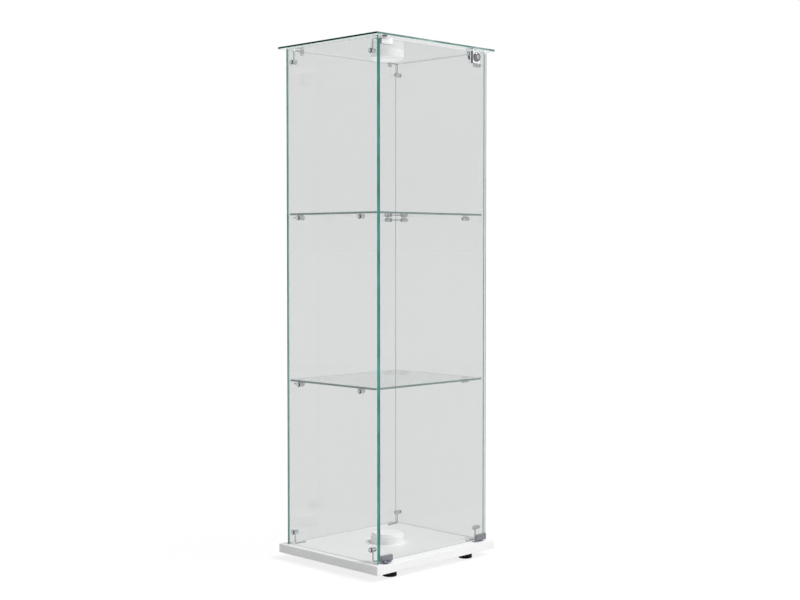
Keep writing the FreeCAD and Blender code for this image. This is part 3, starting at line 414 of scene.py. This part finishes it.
FINISHES = make_finishes()
NODE_FINISHES = {
    "chrome": [
        "base_posts", "top_posts", "ceiling_posts", "lower_shelf_posts", "upper_shelf_posts", "lock_plug"],
    "rod": [name for name in nodes if "_rod_" in name and not name.endswith("screws")],
    "steel": ["panel_screws", "post_grubs", "base_rod_screws", "foot_screws", "clip_screws", "hinge_pins"],
    "polished": ["lock_nut", "lock_cam", "cam_screw", "lock_strike"],
    # Lower clips in the dark copy of the nickel and the upper clip in the bright copy: painted reflections
    "nickel_painted_dark": ["lower_hinge_clip", "strike_clip"],
    "nickel_painted_bright": ["upper_hinge_clip"],
    "liner": ["clip_liners"],
    "clear": ["panel_grommets", "shelf_pads", "ceiling_pads"],
    "laminate": ["base_board"],
    "moulding": ["lower_light_back", "lower_light_ring"],
    "moulding_more_painted_glow": ["upper_light_back", "upper_light_ring"],
    "lens": ["lower_light_lens"],
    "lens_lit": ["upper_light_lens"],
    "foot": ["foot_front_left", "foot_front_right", "foot_back_left", "foot_back_right"],
    "dark": ["pivot_bushes", "door_magnet"],
    "board": ["lower_light_board", "upper_light_board"],
    "cell": ["lower_light_cells", "upper_light_cells"],
}


def dress_nodes():
    for finish, names in NODE_FINISHES.items():
        for name in names:
            for slot in nodes[name].material_slots:
                slot.material = FINISHES[finish]


# Modelling helpers
def take(piece):
    bpy.ops.object.select_all(action="DESELECT")
    piece.select_set(True)
    bpy.context.view_layer.objects.active = piece


def direction_of(edge):
    return (edge.verts[0].co - edge.verts[1].co).normalized()


def bevel_edges(piece, wanted, width, steps):
    take(piece)
    bpy.ops.object.mode_set(mode="EDIT")
    bpy.ops.mesh.select_mode(type="EDGE")
    bpy.ops.mesh.select_all(action="DESELECT")
    mesh = bmesh.from_edit_mesh(piece.data)
    for edge in mesh.edges:
        edge.select = wanted(edge)
    mesh.select_flush_mode()
    bmesh.update_edit_mesh(piece.data)
    bpy.ops.mesh.bevel(offset=width, segments=steps, affect="EDGES")
    bpy.ops.object.mode_set(mode="OBJECT")


def combine(piece, other, way):
    change = piece.modifiers.new(way.lower(), "BOOLEAN")
    change.operation = way
    change.object = other
    change.solver = "EXACT"
    take(piece)
    bpy.ops.object.modifier_apply(modifier=change.name)
    bpy.data.objects.remove(other)


def add_block(name, low, high):
    bpy.ops.object.select_all(action="DESELECT")
    bpy.ops.mesh.primitive_cube_add(size=1, location=(low + high) / 2)
    piece = bpy.context.object
    piece.name = name
    piece.scale = high - low
    bpy.ops.object.transform_apply(location=True, rotation=True, scale=True)
    return piece


# A round bar from front to back
def add_rod(name, centre, radius, front, back):
    bpy.ops.object.select_all(action="DESELECT")
    middle = (centre.x, (front + back) / 2, centre.z)
    quarter = (math.radians(90), 0, 0)
    bpy.ops.mesh.primitive_cylinder_add(
        vertices=ROD_SIDES, radius=radius, depth=back - front, location=middle, rotation=quarter)
    piece = bpy.context.object
    piece.name = name
    bpy.ops.object.transform_apply(location=True, rotation=True, scale=True)
    return piece


def cut_hole(piece, centre, radius, depth, axis):
    turn = AXES[2].rotation_difference(AXES[axis]).to_euler()
    bpy.ops.object.select_all(action="DESELECT")
    bpy.ops.mesh.primitive_cylinder_add(
        vertices=HOLE_SIDES, radius=radius, depth=depth, location=centre, rotation=turn)
    combine(piece, bpy.context.object, "DIFFERENCE")


# Middles of the separate solids that share one node, in the same order each time
def solid_middles(node):
    mesh = bmesh.new()
    mesh.from_mesh(nodes[node].data)
    bmesh.ops.remove_doubles(mesh, verts=mesh.verts, dist=SAME_POINT)
    left = set(mesh.verts)
    middles = []
    while left:
        reached = [left.pop()]
        solid = []
        while reached:
            vert = reached.pop()
            solid.append(vert.co.copy())
            for edge in vert.link_edges:
                other = edge.other_vert(vert)
                if other in left:
                    left.remove(other)
                    reached.append(other)
        lows = [min(point[axis] for point in solid) for axis in range(3)]
        highs = [max(point[axis] for point in solid) for axis in range(3)]
        middles.append((Vector(lows) + Vector(highs)) / 2)
    mesh.free()
    return sorted(middles, key=tuple)


def side_of(direction):
    axis = max(range(3), key=lambda index: abs(direction[index]))
    return SIDES[axis, 1 if direction[axis] > 0 else -1]


# A sheet of glass: rounded corners, polished arris all round, drilled holes, and each edge in its own finish,
# a lighter or darker copy of the edge colour as painted light and shade.
# Where a finish for the arris on the low side is given, that arris takes it as a painted highlight.
def make_pane(node, axis, corner, body, edges, holes=(), glass="pane", low_arris_painted_highlight=None):
    low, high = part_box(node)
    piece = add_block(f"{node}_sheet", Vector(low), Vector(high))
    normal = AXES[axis]
    thickness = high[axis] - low[axis]

    def crosses_sheet(edge):
        return abs(direction_of(edge).dot(normal)) > SQUARE

    def bounds_sheet(edge):
        flat = [abs(face.normal.dot(normal)) > SQUARE for face in edge.link_faces]
        return any(flat) and not all(flat)

    bevel_edges(piece, crosses_sheet, corner, CORNER_STEPS)
    bevel_edges(piece, bounds_sheet, ARRIS, ARRIS_STEPS)
    for centre, radius in holes:
        spot = Vector(centre)
        spot[axis] = (low[axis] + high[axis]) / 2
        cut_hole(piece, spot, radius, thickness * DRILL_LENGTH, axis)
    piece.data.materials.clear()
    kinds = [glass, *sorted({*edges.values(), low_arris_painted_highlight} - {None})]
    for kind in kinds:
        piece.data.materials.append(FINISHES[kind])
    for face in piece.data.polygons:
        tilt = face.normal.dot(normal)
        if abs(tilt) < SQUARE:
            kind = edges.get(side_of(face.normal - normal * tilt), glass)
            if low_arris_painted_highlight and tilt < -ARRIS_LEAN:
                kind = low_arris_painted_highlight
            face.material_index = kinds.index(kind)
    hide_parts(node)
    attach(piece, body)


def make_glass():
    screws = solid_middles("panel_screws")
    left = [(spot, SCREW_HOLE) for spot in screws if spot.x < -SIDE_SCREWS]
    right = [(spot, SCREW_HOLE) for spot in screws if spot.x > SIDE_SCREWS]
    back = [(spot, SCREW_HOLE) for spot in screws if spot.y > BACK_SCREWS]
    pivot = max(solid_middles("pivot_bushes"), key=lambda spot: spot.z)
    low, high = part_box("lock_nut")
    lock = (Vector(low) + Vector(high)) / 2
    # Each side of a sheet takes a copy of the edge colour as painted light and shade; the beds are painted
    # white to lift their shade
    beds = {"bottom": "edge_white", "top": "edge_white"}
    left_edges = {"front": "edge", "back": "edge_deep", **beds}
    right_edges = {"front": "edge_soft", "back": "edge_faint", **beds}
    back_edges = {"left": "edge_mint", "right": "edge_faint", **beds}
    top_edges = {"left": "edge_dark", "right": "edge_dark", "front": "edge_mid", "back": "edge_mid"}
    shelf_edges = dict.fromkeys(("left", "right", "front", "back"), "edge_grey")
    door_edges = {"left": "edge_light", "right": "edge_pale"}
    make_pane("left_panel", 0, WALL_CORNER, "cabinet", left_edges, left)
    make_pane("right_panel", 0, WALL_CORNER, "cabinet", right_edges, right)
    make_pane("back_panel", 1, WALL_CORNER, "cabinet", back_edges, back)
    # The top's low arris takes the mint edge colour as a painted highlight
    make_pane(
        "top_panel", 2, PLATE_CORNER, "cabinet", top_edges, [(pivot, PIVOT_HOLE)], low_arris_painted_highlight="edge_mint")
    make_pane("lower_shelf", 2, PLATE_CORNER, "cabinet", shelf_edges, glass="shelf")
    make_pane("upper_shelf", 2, PLATE_CORNER, "cabinet", shelf_edges, glass="shelf")
    make_pane("door_glass", 1, WALL_CORNER, "door", door_edges, [(lock, LOCK_HOLE)])


def front_rim(depth):
    return lambda edge: all(vert.co.y < depth + HAIR for vert in edge.verts)


# The lock's plate and domed boss in front of the door, its barrel through the glass and the bore for its plug
def make_lock():
    low, high = (Vector(corner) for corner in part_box("lock_body"))
    centre = (low + high) / 2
    glass_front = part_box("door_glass")[0][1]
    plate_front = glass_front - LOCK_PLATE_DEPTH
    bore_front, bore_back = low.y - LOCK_BORE_EXCESS, high.y + LOCK_BORE_EXCESS
    plate = add_block(
        "lock_case", Vector((low.x, plate_front, low.z)), Vector((high.x, glass_front, high.z)))
    bevel_edges(
        plate, lambda edge: abs(direction_of(edge).y) > SQUARE, LOCK_PLATE_CORNER, LOCK_PLATE_CORNER_STEPS)
    bevel_edges(plate, front_rim(plate_front), LOCK_PLATE_RIM, LOCK_PLATE_RIM_STEPS)
    boss = add_rod("boss", centre, LOCK_BOSS_RADIUS, low.y, plate_front + LOCK_OVERLAP)
    bevel_edges(boss, front_rim(low.y), LOCK_BOSS_DOME, LOCK_BOSS_DOME_STEPS)
    combine(plate, boss, "UNION")
    combine(plate, add_rod("barrel", centre, LOCK_BARREL_RADIUS, glass_front - LOCK_OVERLAP, high.y), "UNION")
    combine(plate, add_rod("bore", centre, LOCK_BORE_RADIUS, bore_front, bore_back), "DIFFERENCE")
    plate.data.materials.clear()
    plate.data.materials.append(FINISHES["polished"])
    plate.data.materials.append(FINISHES["boss"])
    # The boss and the faces that don't look to the front take the dark chrome as painted shade; the plate's
    # front keeps the bright chrome
    for face in plate.data.polygons:
        on_boss = face.center.y < plate_front - LOCK_BOSS_START
        face.material_index = 1 if on_boss or face.normal.y > LOCK_PAINTED_SHADE_TILT else 0
    take(plate)
    bpy.ops.object.shade_smooth_by_angle(angle=math.radians(LOCK_SMOOTH_ANGLE))
    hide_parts("lock_body")
    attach(plate, "door")


# Floor, world and sun. Where they are seen, directly, in a mirror or through glass, floor and world are white.
def add_seen(tree):
    path = add_node(tree, "ShaderNodeLightPath")
    glossy = add_either(tree, path, "Is Camera Ray", path, "Is Glossy Ray")
    return add_either(tree, glossy, "Value", path, "Is Transmission Ray")


def add_floor():
    bpy.ops.object.select_all(action="DESELECT")
    bpy.ops.mesh.primitive_plane_add(size=FLOOR_SIZE, location=(0, 0, 0))
    floor = bpy.context.object
    floor.name = "floor"
    dull = {"Roughness": FLOOR_ROUGHNESS, "Specular IOR Level": 0.0}
    material, tree, surface, place = new_material("floor_white", dull)
    cloud = add_group(tree, place, MOTTLE, {"Scale": FLOOR_CLOUD})
    shade_colour(tree, surface, FLOOR_DARK, FLOOR_LIGHT, cloud)
    glow = add_node(tree, "ShaderNodeEmission", {"Strength": FLOOR_GLOW})
    share = add_node(tree, "ShaderNodeMath", {1: FLOOR_GLOW_SHARE}, operation="MULTIPLY")
    join(tree, add_seen(tree), "Value", share, 0)
    mix_shaders(tree, share, surface, glow, "Material Output")
    floor.data.materials.append(material)


def add_world():
    world = bpy.data.worlds.new("studio")
    bpy.context.scene.world = world
    world.use_nodes = True
    tree = world.node_tree
    ambient = tree.nodes["Background"]
    set_inputs(ambient, {"Color": AMBIENT_COLOUR, "Strength": AMBIENT_STRENGTH})
    white = add_node(tree, "ShaderNodeBackground", {"Color": WHITE, "Strength": 1.0})
    mix_shaders(tree, add_seen(tree), ambient, white, "World Output")


# One wide sun lights the floor evenly, with a soft shadow that falls to the left
def add_sun():
    data = bpy.data.lights.new("key", "SUN")
    data.energy = SUN_STRENGTH
    data.angle = math.radians(SUN_ANGLE)
    sun = bpy.data.objects.new("key", data)
    sun.location = SUN_PLACE
    sun.rotation_euler = Vector(SUN_TOWARDS).to_track_quat("Z", "Y").to_euler()
    bpy.context.scene.collection.objects.link(sun)


add_camera()
dress_nodes()
make_glass()
make_lock()
add_floor()
add_world()
add_sun()
scene = bpy.context.scene
scene.view_settings.view_transform = "Standard"
scene.cycles.max_bounces = CLEAR_BOUNCES
scene.cycles.transmission_bounces = CLEAR_BOUNCES
scene.cycles.glossy_bounces = GLOSSY_BOUNCES
scene.cycles.transparent_max_bounces = CLEAR_BOUNCES
